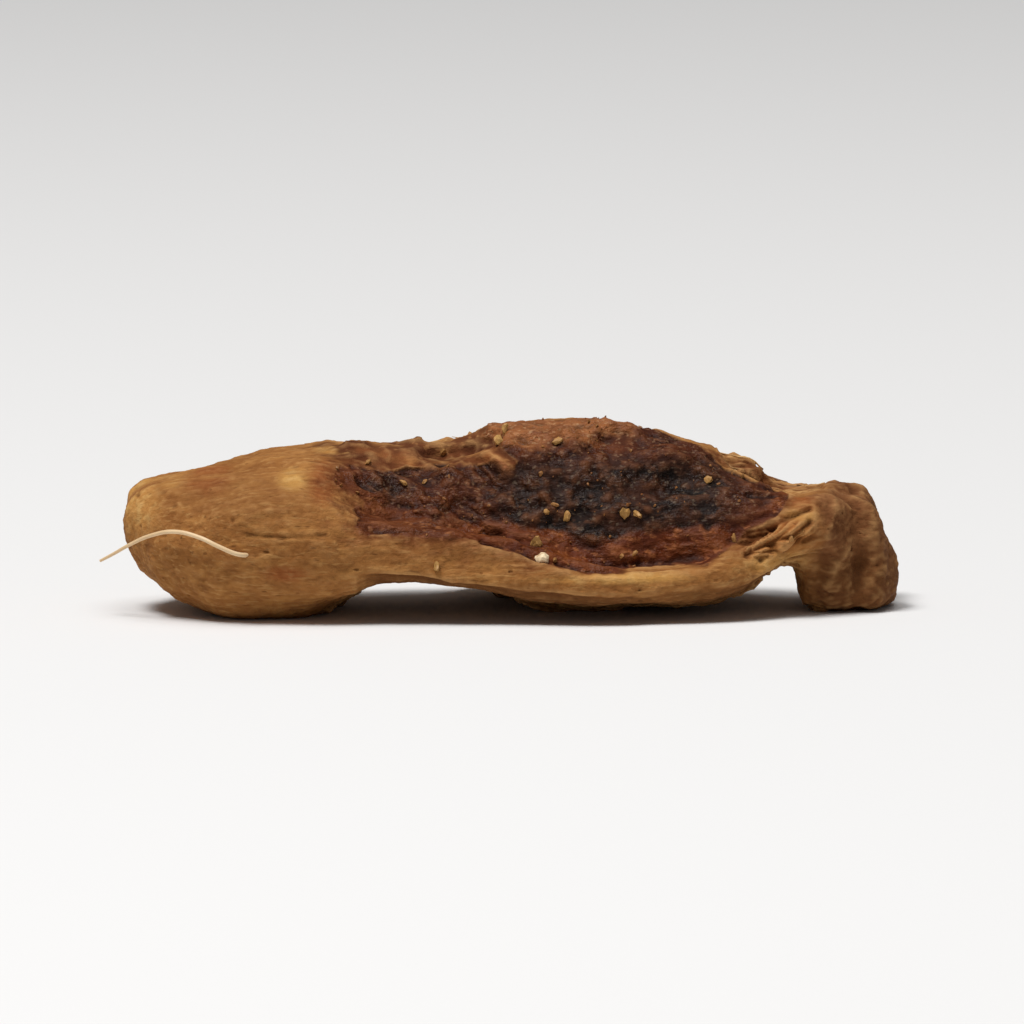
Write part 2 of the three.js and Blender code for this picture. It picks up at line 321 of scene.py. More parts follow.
def bark_zones(points, normals, edges):
    """Where the bark, the cortex along its edges, its rubbed crest and its inky parts show."""
    x, _, z = points.T
    ragged, above, right = edges["ragged"], edges["above"], edges["right"]

    # Bark is the outermost layer within the edges, and the cortex shows where it thins out
    skin = smooth(bark_depth - depth_in_rhizome(points) - ragged - edges["bays"], 0, 0.1)
    skin *= smooth(bark_faces_back - normals[:, 1], 0, 0.05)
    inside = np.minimum.reduce([above, np.maximum(edges["under"], edges["over"]), right])
    bark = smooth(inside, -0.04, 0.06) * skin
    cortex_top = line_through(cortex_height)(x) + ragged * 1.5
    low_cortex = 1 - smooth(above, cortex_top - 0.1, cortex_top + 0.2)
    left_cortex = 1 - smooth(right, 0.35, 0.85)
    cortex = bark * np.maximum(low_cortex, left_cortex)

    # It is nearly black from the leaf scar to the foot, but not along the crest
    inky = smooth(x, -1.6, 0.6) * (1 - smooth(x, 6.0, 8.0)) * (1 - smooth(z, 4.6, 5.4))
    inky = np.maximum(inky, in_ovals(points, patches["inky"]) * 0.8)
    return {
        "bark": bark,
        "cortex": cortex,
        "rubbed": bark * smooth(z - line_through(rubbed_low)(x) + ragged * 2, 0, 0.3) * (1 - cortex),
        "inky": inky * (bark - cortex),
    }


def flesh_zones(points, normals, edges, bark, cortex):
    """Where the flesh is stained, worn, split, snapped or discoloured, where highlight and shade are
    painted on it, and how far it is rubbed in.
    """
    x, y, z = points.T
    facing_back, facing_up = normals[:, 1], normals[:, 2]
    ragged, under, right = edges["ragged"], edges["under"], edges["right"]
    bare = 1 - bark
    front = smooth(-facing_back, 0.0, 0.3)
    wedge = smooth(x, wedge_left - 0.2, wedge_left + 0.4)
    wedge = wedge * (1 - smooth(x, wedge_right - 0.4, wedge_right))

    # The bark's colour has bled into the flesh around it, and into the cortex on the left
    streaks = swells(points, 0.8, 0.16, 5.3) * 0.25
    halo = smooth(np.minimum(edges["above"], right) - edges["calm"] + streaks, -0.9, 0.1)
    halo = halo * smooth(under, -0.3, 0) * front
    leftward = 1 - smooth(x + streaks, -2.2, -0.6)

    # Along the top on the left the bark is worn off, with pale streaks across what is left, lighter partly
    # in their own colour and partly as painted highlight
    worn = smooth(-under, -0.1, 0.1) * smooth(right + streaks * 2, -0.6, 0.5) * (1 - smooth(x, 0.3, 0.9))
    worn *= (1 - smooth(facing_back + ragged, -0.1, 0.3)) * bare
    lip = np.zeros(len(points))
    for line, width, strength in pale_streaks:
        lip = np.maximum(lip, bump_near(distance_to_line(points, line) + ragged, width) * strength)
    lip *= 1 - smooth(y, -1.0, -0.2)

    # The wedge's top and underside and the whole back were split off along the grain
    torn = smooth(depth_in_rhizome(points) - bark_depth, 0.2, 0.6)
    torn = torn * smooth(facing_back + facing_up, 0.1, 0.5) * wedge
    below = smooth(-facing_up, 0.6, 0.85) * smooth(y, -2.6, -1.4) * wedge
    split = np.maximum.reduce([torn, below, smooth(facing_back, 0.5, 0.8)]) * bare * (1 - worn)

    # The rim is rubbed in where it faces down, in front
    undercut = smooth(-facing_up, 0.1, 0.6) * (1 - smooth(y, -2.2, -0.8))
    undercut = undercut * line_through(underside_rubbed)(x)
    # Painted shade, partly browner flesh: the foot's lower front and the rim's down-facing underside; the
    # lobe's upper middle is only a little darker
    browned_and_painted_shade = np.maximum(
        in_ovals(points, patches["browned_and_painted_shade"]), in_ovals(points, patches["faintly_darker"]) * 0.4,
    )
    return {
        "stain": np.maximum(halo * bare * 0.85, cortex * leftward * 0.8),
        "worn": worn,
        "lip": lip,
        "split": split,
        "broken": in_ovals(points, patches["broken"]) * front * bare,
        "rusty": in_ovals(points, patches["rusty"]) * front * bare * 0.8,
        # Painted highlight, partly paler flesh
        "paler_flesh_and_painted_highlight": in_ovals(points, patches["paler_flesh_and_painted_highlight"]) * front * bare,
        "browned_and_painted_shade": np.maximum(browned_and_painted_shade * front, np.minimum(undercut * 4, 1)) * bare * 0.85,
        "foot": smooth(x + ragged * 3, foot_starts - 0.2, foot_starts + 0.8) * bare,
        "front": front,
        "undercut": undercut,
    }


def chip_zones(points, normals):
    """Where each finish shows on the chip, from 0 to 1 at each point, and what steers its relief."""
    edges = bark_edges(points)
    zones = bark_zones(points, normals, edges)
    zones.update(flesh_zones(points, normals, edges, zones["bark"], zones["cortex"]))

    # The rim runs along the lower edge, and the bark's wrinkles start gently from the left one
    zones["above"] = edges["above"]
    zones["skirt"] = smooth(edges["right"], -0.1, 0.5)
    return zones


def bark_relief(points):
    """Slanting wrinkles on the left, furrows along the grain on the right, lumps and a crust."""
    x = points[:, 0]
    slanted = points.copy()
    slanted[:, 2] += x * 0.9 + swells(points, 2.2, 2.2, 5.2) * 0.35
    leftward = 1 - smooth(x, -1.0, 1.0)
    wrinkles = folds(slanted, 3.0, 0.6, 2.4) * leftward * 0.07
    furrows = folds(slanted * (1, 1, 0.5), 2.0, 0.8, 8.8) * (1 - leftward) * 0.06
    creases = np.minimum(folds(points, 0.9, 0.55, 5.9), 0.6) * 0.05
    lumps = swells(points, 1.0, 0.8, 4.4) * 0.1 + swells(points, 0.5, 0.4, 9.1) * 0.06
    crust = grains(points, 0.4, 1.7) * 0.06 + grains(points, 0.2, 7.3) * 0.03
    return wrinkles + furrows + creases + lumps + crust - 0.1


def cortex_relief(points):
    """Smooth, shrunken lumps, like the skin of dried fruit."""
    lumps = swells(points, 1.1, 0.5, 2.2) * 0.1
    return lumps + folds(points, 1.4, 0.4, 5.5) * 0.035 + swells(points, 0.25, 0.2, 8.5) * 0.02 - 0.02


def foot_relief(points):
    """The foot's shrunken flesh: shallow creases that run down it, between soft lumps."""
    creases = folds(points[:, [2, 1, 0]], 1.9, 0.7, 4.3) * 0.05
    return creases + swells(points, 0.7, 0.7, 9.6) * 0.07 + swells(points, 0.22, 0.22, 2.8) * 0.02


def flesh_relief(points):
    """Spongy cut flesh: shallow dimples, faint grain, fibre ends and open pores."""
    dimples = swells(points, 1.3, 0.8, 7.1) * 0.035 + swells(points, 0.5, 0.32, 1.6) * 0.022
    grain = folds(points, 1.8, 0.24, 3.9) * 0.012
    sponge = swells(points, 0.17, 0.12, 4.8) * 0.014
    pores = smooth(swells(points, 0.36, 0.17, 6.2), 0.95, 1.2) * -0.05
    return dimples + grain + sponge + pores


def split_relief(points):
    """Strands along the grain on stepped ledges, some torn loose, with crumbly ground between."""
    wander = points.copy()
    wander[:, 1:] += np.stack([swells(points, 4, 2, 7.7), swells(points, 4, 2, 2.9)], axis=1) * 0.25
    ledges = terraces(swells(wander, 4.5, 0.75, 1.9) * 0.22, 0.1)
    strands = folds(wander, 8.0, 0.5, 4.7) * 0.05 + folds(wander, 6.0, 0.2, 8.1) * 0.03
    torn = smooth(swells(wander, 1.5, 0.17, 3.4), 0.5, 0.75) * 0.07
    crumbly = swells(points, 0.35, 0.25, 3.3) * 0.035 + swells(points, 0.15, 0.11, 6.6) * 0.015
    return ledges + strands + torn + crumbly - 0.05


def broken_relief(points):
    """Flesh snapped across the grain: slanting plates with sharp edges."""
    tilted = points.copy()
    tilted[:, 2] -= points[:, 0] * 0.45
    plates = terraces(swells(tilted, 1.5, 0.6, 2.7) * 0.4, 0.15)
    return plates + folds(tilted, 1.4, 0.5, 6.1) * 0.06 + swells(points, 0.25, 0.2, 1.2) * 0.03


def chip_relief(points, zones):
    """How far each point of the surface moves out: the finishes' own relief, then the single marks."""
    x, _, z = points.T
    bark, cortex, worn, split = zones["bark"], zones["cortex"], zones["worn"], zones["split"]
    front = zones["front"]
    whole = 1 - zones["broken"]
    shares = (
        ((bark - cortex * 0.85) * zones["skirt"] + worn * 0.6, bark_relief),
        (cortex, cortex_relief),
        ((1 - bark) * (1 - split) * (1 - worn) * whole, flesh_relief),
        (zones["foot"] * (1 - split) * whole * 0.8, foot_relief),
        (split * whole, split_relief),
        (zones["broken"], broken_relief),
    )
    relief = np.zeros(len(points))
    for share, relief_of in shares:
        there = np.flatnonzero(share > 0)
        relief[there] += share[there] * relief_of(points[there])

    # The rim is rubbed in below, and runs along under the bark as a lip with a groove over it
    relief -= zones["undercut"]
    rim_lip = bump_near(zones["above"] + 0.17, 0.15) * 0.1
    rim_groove = bump_near(zones["above"] - 0.14, 0.15) * 0.14
    rim_runs = smooth(x, 0.6, 1.8) * (1 - smooth(x, 4.8, 6.8) * 0.8) * (1 - smooth(x, 7.0, 8.0)) * front
    relief += (rim_lip - rim_groove) * rim_runs

    corner_x, corner_z, reach, height = foot_corner
    relief += bump_near(np.hypot(x - corner_x, z - corner_z), reach) * height
    for line, width, height in front_marks.values():
        relief += bump_near(distance_to_line(points, line), width) * height * front
    for pit_x, pit_z, radius, height in front_pits:
        relief += bump_near(np.hypot(x - pit_x, z - pit_z), radius) * height * front
    return relief


def smoothed(values, edges, rounds):
    """The values averaged with their neighbours along the edges, some rounds over."""
    ends = np.concatenate([edges[:, 0], edges[:, 1]])
    others = np.concatenate([edges[:, 1], edges[:, 0]])
    counts = np.bincount(ends, minlength=len(values))
    for _ in range(rounds):
        values = np.bincount(ends, weights=values[others], minlength=len(values)) / counts
    return values


def wear_and_painted_light_zones(points, relief, edges, bark):
    """Where the relief stands out or in from its surroundings, which paints it paler or darker, partly as
    wear and dust and partly as painted highlight and painted shade, and how glossy the bark is.
    """

    # The relief against its average close by, and that against the average farther off
    near = smoothed(relief, edges, 6)
    far = smoothed(near, edges, 30)
    height = (relief - near) / 0.04 + (near - far) / 0.1
    raised = np.clip(height, 0, 1)
    sunken = np.clip(-height, 0, 1)
    return {
        "pale_flesh_and_painted_highlight": raised * 0.5 * (1 - bark),
        "flesh_hollows_dust_and_painted_shade": sunken * 0.6 * (1 - bark),
        "bark_ridges_painted_highlight": raised * 0.4 * bark,
        "bark_hollows_painted_shade": sunken * 0.6 * bark,
        "gloss": bark * np.clip(0.7 + swells(points, 0.8, 0.6, 2.1) * 0.5, 0.2, 1),
    }


def linear(hex_colour):
    """An sRGB hex colour as the linear colour that a shader takes."""
    channels = [int(hex_colour[i:i + 2], 16) / 255 for i in (1, 3, 5)]
    return (*[c / 12.92 if c <= 0.04045 else ((c + 0.055) / 1.055) ** 2.4 for c in channels], 1.0)


def add_node(tree, kind, settings=None, links=None):
    """Adds a shader node, sets its properties and inputs, and links what feeds it."""
    node = tree.nodes.new("ShaderNode" + kind)
    for name, value in (settings or {}).items():
        if isinstance(name, int) or name in node.inputs:
            node.inputs[name].default_value = value
        else:
            setattr(node, name, value)
    for name, source in (links or {}).items():
        tree.links.new(source, node.inputs[name])
    return node


def new_material(name):
    """A new material, with its node tree and its shader."""
    material = bpy.data.materials.new(name)
    material.use_nodes = True
    tree = material.node_tree
    return material, tree, tree.nodes["Principled BSDF"]


# The inputs of a Mix node for colours, by number because their names repeat, and its output
SHARE, FIRST, SECOND, MIXED = 0, 6, 7, 2

# Patterns in the rhizome's finishes: their size in mm along and across the grain, how many finer
# octaves they have, the part of their range that is spread out, and how strongly they show
rhizome_patterns = {
    "clouds": (2.6, 1.6, 3.0, 0.38, 0.62, 1.0),
    "mottle": (0.9, 0.5, 4.0, 0.44, 0.68, 0.8),
    "dapple": (0.45, 0.26, 3.0, 0.46, 0.7, 0.7),
    "fibres": (0.8, 0.11, 2.0, 0.57, 0.7, 0.5),
    "pores": (0.42, 0.14, 1.0, 0.68, 0.76, 0.6),
    "strands": (3.0, 0.16, 4.0, 0.4, 0.6, 1.0),
    "threads": (4.5, 0.09, 1.0, 0.52, 0.66, 0.7),
    "blots": (1.1, 0.7, 4.0, 0.38, 0.62, 1.0),
    "flecks": (0.3, 0.2, 2.0, 0.56, 0.7, 0.8),
    # Pale specks on the bark, partly grit and partly painted glints
    "pale_specks_and_painted_glints": (0.16, 0.12, 1.0, 0.6, 0.72, 0.6),
    "fine grain": (0.45, 0.09, 3.0, 0.3, 0.7, 1.0),
    "grit": (0.12, 0.1, 2.0, 0.3, 0.7, 1.0),
    "crust": (0.3, 0.22, 4.0, 0.3, 0.7, 1.0),
}

# Each finish: two colours that a pattern mixes, then patterns laid over them in another colour.
# After the bare flesh they lie on each other in this order, where the zone of that name shows.
rhizome_finishes = {
    "flesh": (
        ("#9c6836", "#885629", "clouds"),
        [("mottle", "#aa763f"), ("dapple", "#86562c"), ("fibres", "#ba8c54"), ("pores", "#5f3819")],
    ),
    # Paler flesh, partly painted highlight
    "paler_flesh_and_painted_highlight": (("#c18f4c", "#b07b40", "clouds"), [("dapple", "#cfa566"), ("pores", "#7d5028")]),
    "rusty": (("#8e4d24", "#7a3c1c", "mottle"), [("fibres", "#a8703e")]),
    # The foot: browner flesh, darkened partly as painted shade
    "foot": (
        ("#815330", "#6c4123", "clouds"),
        [("mottle", "#90603a"), ("dapple", "#63391b"), ("pores", "#452610")],
    ),
    # Painted shade, partly browner flesh, on the foot's lower front and the rim's underside
    "browned_and_painted_shade": (("#68401f", "#553017", "mottle"), [("dapple", "#774a28"), ("pores", "#3d210e")]),
    "split": (
        ("#80502a", "#a3733f", "strands"),
        [("clouds", "#8f5d31"), ("threads", "#c1935c"), ("dapple", "#6d4221"), ("flecks", "#b98d58")],
    ),
    "worn": (("#61351c", "#7a4826", "mottle"), [("flecks", "#a27042"), ("blots", "#4f2713")]),
    "broken": (("#a26531", "#84491f", "mottle"), [("dapple", "#bd8248"), ("pores", "#4c2a14")]),
    "bark": (
        ("#301105", "#4e220d", "blots"),
        [("mottle", "#5b2c13"), ("flecks", "#72462b"), ("pale_specks_and_painted_glints", "#8a674c")],
    ),
    "inky": (("#160b07", "#33180a", "blots"), [("flecks", "#492c1c"), ("pale_specks_and_painted_glints", "#685848")]),
    "rubbed": (("#965c34", "#6e3d20", "mottle"), [("flecks", "#b07a50"), ("pale_specks_and_painted_glints", "#bd9268")]),
    "cortex": (("#612a0b", "#83461e", "mottle"), [("blots", "#50210c"), ("flecks", "#985a32")]),
    "stain": (("#633217", "#7a4624", "mottle"), [("blots", "#57290f"), ("flecks", "#945e3a")]),
    # Pale streaks: orange-brown, partly their own colour and partly painted highlight
    "lip": (("#96592f", "#7e4824", "mottle"), [("dapple", "#ad7440")]),
}

# Raised and sunken spots: raised flesh is paler, partly rubbed and partly painted highlight, and raised
# bark is painted highlight; sunken flesh is darker, partly dust and partly painted shade, and sunken bark
# is painted shade
edge_colours = {
    "pale_flesh_and_painted_highlight": "#c59660",
    "flesh_hollows_dust_and_painted_shade": "#4f2b10",
    "bark_ridges_painted_highlight": "#7f4f31",
    "bark_hollows_painted_shade": "#0e0705",
}
rhizome_zones = [*list(rhizome_finishes)[1:], *edge_colours, "gloss"]


def add_patterns(tree, place):
    """The rhizome's patterns, each from 0 to how strongly it shows."""
    patterns = {}
    for name, (along, across, detail, low, high, strength) in rhizome_patterns.items():
        scale = (1 / (along * MM), 1 / (across * MM), 1 / (across * MM))
        stretched = add_node(tree, "Mapping", {"Scale": scale}, {"Vector": place})
        cloudy = add_node(
            tree, "TexNoise", {"Scale": 1.0, "Detail": detail}, {"Vector": stretched.outputs["Vector"]},
        )
        spread = add_node(
            tree, "MapRange", {"From Min": low, "From Max": high, "To Max": strength},
            {"Value": cloudy.outputs["Fac"]},
        )
        patterns[name] = spread.outputs["Result"]
    return patterns


def add_finishes(tree, patterns):
    """The rhizome's finishes, each with all of its patterns laid over it."""
    finishes = {}
    for name, ((first, second, between), layers) in rhizome_finishes.items():
        finish = add_node(
            tree, "Mix", {"data_type": "RGBA", FIRST: linear(first), SECOND: linear(second)},
            {SHARE: patterns[between]},
        )
        for pattern, colour in layers:
            finish = add_node(
                tree, "Mix", {"data_type": "RGBA", SECOND: linear(colour)},
                {SHARE: patterns[pattern], FIRST: finish.outputs[MIXED]},
            )
        finishes[name] = finish.outputs[MIXED]
    return finishes


def add_fine_relief(tree, patterns, gloss):
    """The relief that is too fine for the mesh: fine grain, grit and the bark's crust."""
    grain = add_node(
        tree, "Bump", {"Strength": 0.45, "Distance": 0.03 * MM}, {"Height": patterns["fine grain"]},
    )
    grit = add_node(
        tree, "Bump", {"Strength": 0.5, "Distance": 0.03 * MM},
        {"Height": patterns["grit"], "Normal": grain.outputs["Normal"]},
    )
    crust = add_node(
        tree, "Bump", {"Distance": 0.08 * MM},
        {"Height": patterns["crust"], "Normal": grit.outputs["Normal"], "Strength": gloss},
    )
    return crust.outputs["Normal"]


def dried_rhizome():
    """Dried calamus rhizome: matt, spongy tan flesh, a waxy red-brown cortex and dull dark bark, with
    painted highlight on its ridges and painted shade in its hollows.
    """
    material, tree, shader = new_material("dried_rhizome")
    place = add_node(tree, "TexCoord").outputs["Object"]
    zones = {}
    for name in rhizome_zones:
        zones[name] = add_node(tree, "Attribute", {"attribute_name": name}).outputs["Fac"]
    patterns = add_patterns(tree, place)
    finishes = add_finishes(tree, patterns)

    shown = finishes.pop("flesh")
    for name, finish in finishes.items():
        coat = add_node(
            tree, "Mix", {"data_type": "RGBA"}, {SHARE: zones[name], FIRST: shown, SECOND: finish},
        )
        shown = coat.outputs[MIXED]
    # Raised spots painted paler as highlight, sunken spots painted darker as shade
    for name, colour in edge_colours.items():
        coat = add_node(
            tree, "Mix", {"data_type": "RGBA", SECOND: linear(colour)}, {SHARE: zones[name], FIRST: shown},
        )
        shown = coat.outputs[MIXED]
    rough = add_node(tree, "MapRange", {"To Min": 0.85, "To Max": 0.34}, {"Value": zones["gloss"]})
    tree.links.new(shown, shader.inputs["Base Color"])
    tree.links.new(rough.outputs["Result"], shader.inputs["Roughness"])
    tree.links.new(add_fine_relief(tree, patterns, zones["gloss"]), shader.inputs["Normal"])
    shader.inputs["IOR"].default_value = 1.45
    shader.inputs["Specular IOR Level"].default_value = 0.16
    return material


def make_chip():
    """The solid, cut fine and moved out by its relief, with the zones kept at its vertices."""
    mesh = fine_copy(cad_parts["calamus_root_chip"], chip_halvings)
    points = read_vertices(mesh, "vertices", "co") / MM
    normals = read_vertices(mesh, "vertex_normals", "vector")
    zones = chip_zones(points, normals)
    relief = chip_relief(points, zones)

    # Nothing sinks below the surface that the chip rests on
    moved = points + normals * relief[:, None]
    moved[:, 2] = np.maximum(moved[:, 2], 0)
    mesh.vertices.foreach_set("co", (moved * MM).astype(np.float32).ravel())

    edges = np.empty(len(mesh.edges) * 2, np.int32)
    mesh.edges.foreach_get("vertices", edges)
    zones.update(wear_and_painted_light_zones(points, relief, edges.reshape(-1, 2), zones["bark"]))
    for name in rhizome_zones:
        zone = mesh.attributes.new(name, "FLOAT", "POINT")
        zone.data.foreach_set("value", zones[name].astype(np.float32))

    chip = new_object("chip", mesh)
    lighter = chip.modifiers.new("fewer faces", "DECIMATE")
    lighter.ratio = chip_faces_kept
    final = applied_mesh(chip)
    chip.modifiers.clear()
    chip.data = final
    final.shade_smooth()
    final.materials.append(dried_rhizome())
    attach(chip, "root")
    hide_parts("calamus_root_chip")
    return chip


chip = make_chip()
chip_surface = BVHTree.FromObject(chip, bpy.context.evaluated_depsgraph_get())


# Splinters
# Single vascular strands of the flesh, thin as hair, that lie along the grain on the split faces
# and lift off at their ends, where they tore when the chip was split off the rhizome.
splinter_count = 260
splinter_lengths = (0.8, 4.0)
splinter_widths = (0.04, 0.1)
splinter_lifts = (-0.02, 0.12)

# How far splinters stray from the grain for each millimetre along it, and the steps and sides that
# they are made with
splinter_slant = 0.12
splinter_step = 0.2
splinter_sides = 5


def dried_strand():
    """Dried vascular strands: pale straw to rust, smooth and faintly glossy, like raffia."""
    material, tree, shader = new_material("dried_strand")
    place = add_node(tree, "TexCoord").outputs["Object"]
    tints = add_node(tree, "TexNoise", {"Scale": 1 / (1.6 * MM), "Detail": 2.0}, {"Vector": place})
    spread = add_node(
        tree, "MapRange", {"From Min": 0.38, "From Max": 0.62}, {"Value": tints.outputs["Fac"]},
    )
    colour = add_node(
        tree, "Mix", {"data_type": "RGBA", FIRST: linear("#8a5a30"), SECOND: linear("#c9a069")},
        {SHARE: spread.outputs["Result"]},
    )
    tree.links.new(colour.outputs[MIXED], shader.inputs["Base Color"])
    shader.inputs["Roughness"].default_value = 0.6
    shader.inputs["Specular IOR Level"].default_value = 0.3
    return material


def add_tube(shape, centres, radii, sides):
    """A tapered tube through the centres, closed at both ends."""
    rings = []
    for number, (centre, radius) in enumerate(zip(centres, radii)):
        before = centres[max(number - 1, 0)]
        after = centres[min(number + 1, len(centres) - 1)]
        turn = (after - before).to_track_quat("Z", "Y")
        ring = []
        for side in range(sides):
            angle = math.tau * side / sides
            outwards = turn @ Vector((math.cos(angle), math.sin(angle), 0))
            ring.append(shape.verts.new(centre + outwards * radius))
        rings.append(ring)
    for low, high in zip(rings[:-1], rings[1:]):
        for side in range(sides):
            after = (side + 1) % sides
            shape.faces.new((low[side], low[after], high[after], high[side]))
    shape.faces.new(reversed(rings[0]))
    shape.faces.new(rings[-1])


def splinter_line(place, way, radius, lift, steps, split):
    """The centres and radii of a splinter that follows the surface and lifts off at its end."""
    centres = []
    radii = []
    for step in range(steps + 1):
        share = step / steps
        place, normal, face, _ = chip_surface.find_nearest(place)

        # It ends where the split face does
        if split[chip.data.polygons[face].vertices[0]] < 0.3 and step > 2:
            break
        centre = place + normal * (radius * 0.4 + lift * share ** 3) * MM
        centre.z = max(centre.z, radius * MM)
        centres.append(centre)

        # It is thickest an eighth of the way along, and thins out to a third at its end
        radii.append(radius * MM * (1.05 - share) ** 0.4 * min(1, 0.5 + share * 4))
        place = place + way * splinter_step * MM
    return centres, radii


def make_splinters():
    """Splinters all over the split faces, but for where these face down."""
    draw = np.random.default_rng(5)
    split = np.empty(len(chip.data.vertices), np.float32)
    chip.data.attributes["split"].data.foreach_get("value", split)
    normals = read_vertices(chip.data, "vertex_normals", "vector")
    torn_places = np.flatnonzero((split > 0.8) & (normals[:, 2] > -0.3))
    shape = bmesh.new()
    for number in draw.choice(torn_places, splinter_count, replace=False):
        place = chip.data.vertices[int(number)].co.copy()
        length = draw.uniform(*splinter_lengths) * draw.uniform(0.4, 1.0)
        radius = draw.uniform(*splinter_widths) / 2
        slant = draw.uniform(-splinter_slant, splinter_slant, 2)
        way = Vector((draw.choice((-1, 1)), *slant))
        lift = draw.uniform(*splinter_lifts)
        steps = max(int(length / splinter_step), 4)
        centres, radii = splinter_line(place, way, radius, lift, steps, split)
        add_tube(shape, centres, radii, splinter_sides)
    mesh = bpy.data.meshes.new("splinters")
    shape.to_mesh(mesh)
    shape.free()
    mesh.shade_smooth()
    mesh.materials.append(dried_strand())
    splinters = new_object("splinters", mesh)
    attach(splinters, "root")


make_splinters()


# Crumbs
# Pale, starchy crumbs of flesh and grit that stuck in the wrinkles when the root was cut up and
# dried: a few large enough to see one by one, and some as fine as sand.

# The single crumbs, as (x, z, size) seen from the front
crumb_places = [
    (-1.0, 6.3, 0.4), (-0.6, 6.35, 0.34), (1.46, 5.5, 0.3), (1.72, 3.28, 0.32), (1.1, 3.44, 0.26),
    (1.36, 3.63, 0.22), (3.62, 3.4, 0.38), (4.02, 3.33, 0.36), (0.98, 2.06, 0.68), (0.8, 2.5, 0.36),
    (6.31, 4.37, 0.28), (7.35, 4.36, 0.22), (-3.45, 4.27, 0.26), (-2.79, 4.26, 0.22), (-4.62, 4.84, 0.24),
    (7.09, 2.57, 0.3), (-2.41, 1.95, 0.3), (8.9, 2.6, 0.22), (1.35, 2.05, 0.2),
    (-5.6, 4.75, 0.16), (-5.45, 4.3, 0.14), (-2.2, 5.0, 0.26), (3.5, 2.1, 0.2), (3.9, 2.15, 0.22),
]

# The least and the most that crumbs are stretched each way, and how far their middles stand out of
# the surface, as shares of their size
crumb_stretches = ((0.8, 0.6, 0.45), (1.3, 1.0, 0.75))
crumb_raised = 0.12

# How many grains of grit there are, and the smallest and the largest of them
grit_count = 120
grit_sizes = (0.05, 0.16)


def dried_starch():
    """Dried starchy crumbs: pale straw to brown, a little glassy, so that some catch the light."""
    material, tree, shader = new_material("dried_starch")
    place = add_node(tree, "TexCoord").outputs["Object"]
    pale = add_node(tree, "Attribute", {"attribute_name": "pale"}).outputs["Fac"]
    tints = add_node(tree, "TexNoise", {"Scale": 1 / (0.3 * MM), "Detail": 3.0}, {"Vector": place})
    base = add_node(
        tree, "Mix", {"data_type": "RGBA", FIRST: linear("#7c4b25"), SECOND: linear("#e6b96c")},
        {SHARE: pale},
    )
    palest = add_node(tree, "MapRange", {"From Min": 0.7, "To Max": 0.75}, {"Value": pale})
    starch = add_node(
        tree, "Mix", {"data_type": "RGBA", SECOND: linear("#f4e4c4")},
        {SHARE: palest.outputs["Result"], FIRST: base.outputs[MIXED]},
    )
    spread = add_node(
        tree, "MapRange", {"From Min": 0.45, "From Max": 0.7, "To Max": 0.7},
        {"Value": tints.outputs["Fac"]},
    )
    colour = add_node(
        tree, "Mix", {"data_type": "RGBA", SECOND: linear("#a2703f")},
        {SHARE: spread.outputs["Result"], FIRST: starch.outputs[MIXED]},
    )
    tree.links.new(colour.outputs[MIXED], shader.inputs["Base Color"])
    shader.inputs["Roughness"].default_value = 0.5
    shader.inputs["Specular IOR Level"].default_value = 0.25
    return material


def add_crumb(shape, pale, place, normal, size, draw):
    """One angular, knobbly crumb, a third sunk into the surface; the larger, the paler."""
    fineness = 2 if size > grit_sizes[1] * MM else 1
    made = bmesh.ops.create_icosphere(shape, subdivisions=fineness, radius=0.5)
    stretch = Vector(draw.uniform(*crumb_stretches))
    turn = Euler(draw.uniform(0, math.tau, 3)).to_matrix()
    start = Vector(draw.uniform(0, 50, 3))
    for vertex in made["verts"]:
        knobs = 1 + 0.6 * noise.noise(vertex.co * 2.2 + start) + 0.3 * noise.noise(vertex.co * 5 + start)
        vertex.co = place + normal * size * crumb_raised + turn @ (vertex.co * stretch) * size * knobs
        vertex[pale] = min(max(size / MM - 0.1, 0) * 1.8, 1)


def make_crumbs():
    """The single crumbs on the front, or on the crest for those over it, and grit all over the bark."""
    draw = np.random.default_rng(11)
    shape = bmesh.new()
    pale = shape.verts.layers.float.new("pale")
    for x, z, size in crumb_places:
        # Straight back from the front until it meets the chip, or to the nearest place on its crest
        place, normal, _, _ = chip_surface.ray_cast(Vector((x, -10, z)) * MM, Vector((0, 1, 0)))
        if place is None:
            place, normal, _, _ = chip_surface.find_nearest(Vector((x, -0.8, z)) * MM)
        add_crumb(shape, pale, place, normal, size * MM, draw)
    bark = np.empty(len(chip.data.vertices), np.float32)
    chip.data.attributes["bark"].data.foreach_get("value", bark)
    for number in draw.choice(np.flatnonzero(bark > 0.5), grit_count, replace=False):
        vertex = chip.data.vertices[int(number)]
        size = grit_sizes[0] + (grit_sizes[1] - grit_sizes[0]) * draw.random() ** 2
        add_crumb(shape, pale, vertex.co, vertex.normal, size * MM, draw)
    mesh = bpy.data.meshes.new("crumbs")
    shape.to_mesh(mesh)
    shape.free()
    mesh.materials.append(dried_starch())
    crumbs = new_object("crumbs", mesh)
    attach(crumbs, "root")


make_crumbs()


# Loose fibre
# One pale, wiry fibre of the root that came away from the flesh when it was cut: it is rooted in
# the lobe's front, arches over it and ends just past the lobe's tip.
fibre_width = 0.15
fibre_way = [
    (-8.3, -4.2, 2.3), (-8.7, -4.45, 2.36), (-9.3, -4.45, 2.6), (-9.9, -4.25, 2.86), (-10.7, -3.85, 3.0),
    (-11.5, -3.3, 2.8), (-12.2, -2.75, 2.42), (-12.75, -2.3, 2.05), (-13.15, -2.0, 1.8),
]


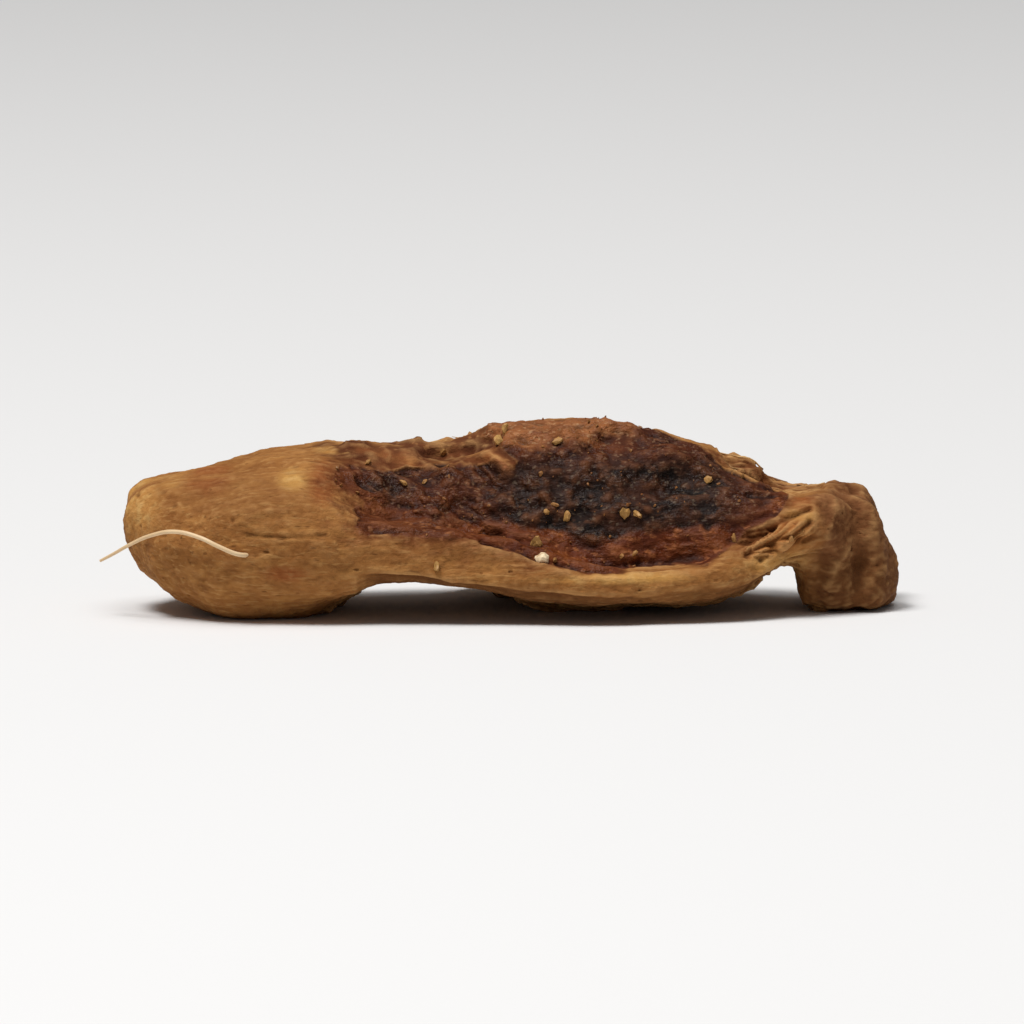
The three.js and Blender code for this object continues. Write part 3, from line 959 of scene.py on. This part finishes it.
def dried_fibre():
    """Dried root fibre: pale, smooth and a little glossy, like raffia."""
    material, tree, shader = new_material("dried_fibre")
    place = add_node(tree, "TexCoord").outputs["Object"]
    tints = add_node(tree, "TexNoise", {"Scale": 1 / (0.8 * MM), "Detail": 2.0}, {"Vector": place})
    colour = add_node(
        tree, "Mix", {"data_type": "RGBA", FIRST: linear("#c9a06c"), SECOND: linear("#eed4ad")},
        {SHARE: tints.outputs["Fac"]},
    )
    tree.links.new(colour.outputs[MIXED], shader.inputs["Base Color"])
    shader.inputs["Roughness"].default_value = 0.5
    return material


def make_fibre():
    """The fibre as a round tube through its places, thinner towards its end."""
    curve = bpy.data.curves.new("loose_fibre", "CURVE")
    curve.dimensions = "3D"
    curve.resolution_u = 6
    curve.bevel_depth = fibre_width / 2 * MM
    curve.bevel_resolution = 3
    curve.use_fill_caps = True
    spline = curve.splines.new("BEZIER")
    spline.bezier_points.add(len(fibre_way) - 1)
    for number, (point, place) in enumerate(zip(spline.bezier_points, fibre_way)):
        point.co = Vector(place) * MM
        point.handle_left_type = point.handle_right_type = "AUTO"
        point.radius = 1.0 - 0.5 * (number / len(fibre_way)) ** 2
    holder = new_object("loose_fibre", curve)
    mesh = applied_mesh(holder)
    bpy.data.objects.remove(holder)
    mesh.shade_smooth()
    mesh.materials.clear()
    mesh.materials.append(dried_fibre())
    fibre = new_object("loose_fibre", mesh)
    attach(fibre, "root")


make_fibre()


# Floor and light
# A pale, matt floor without an edge in view, and soft light from a large window high in front,
# with a paler ceiling over it.

# Sizes and places of the floor and the lamps are in metres
floor_size = 3.0
room_light = 0.13


def plain_floor():
    """A square of matt paper under the chip."""
    mesh = bpy.data.meshes.new("floor")
    half = floor_size / 2
    corners = [(-half, -half, 0), (half, -half, 0), (half, half, 0), (-half, half, 0)]
    mesh.from_pydata(corners, [], [(0, 1, 2, 3)])
    floor = new_object("floor", mesh)
    material, _, shader = new_material("matt_paper")
    shader.inputs["Base Color"].default_value = linear("#e6e5e4")
    shader.inputs["Roughness"].default_value = 0.9
    mesh.materials.append(material)


def soft_light(name, place, size, watts):
    """A square lamp that faces the chip."""
    data = bpy.data.lights.new(name, "AREA")
    data.size = size
    data.energy = watts
    lamp = new_object(name, data)
    lamp.location = place
    lamp.rotation_euler = (chip_middle - Vector(place)).to_track_quat("-Z", "Y").to_euler()


plain_floor()
soft_light("window", place=(-0.14, -0.13, 0.44), size=0.14, watts=1.9)
soft_light("ceiling", place=(0.05, -0.05, 0.5), size=0.3, watts=0.85)

world = bpy.data.worlds.new("pale_room")
world.use_nodes = True
background = world.node_tree.nodes["Background"]
background.inputs["Color"].default_value = linear("#ffffff")
background.inputs["Strength"].default_value = room_light
bpy.context.scene.world = world
bpy.context.scene.view_settings.view_transform = "Standard"
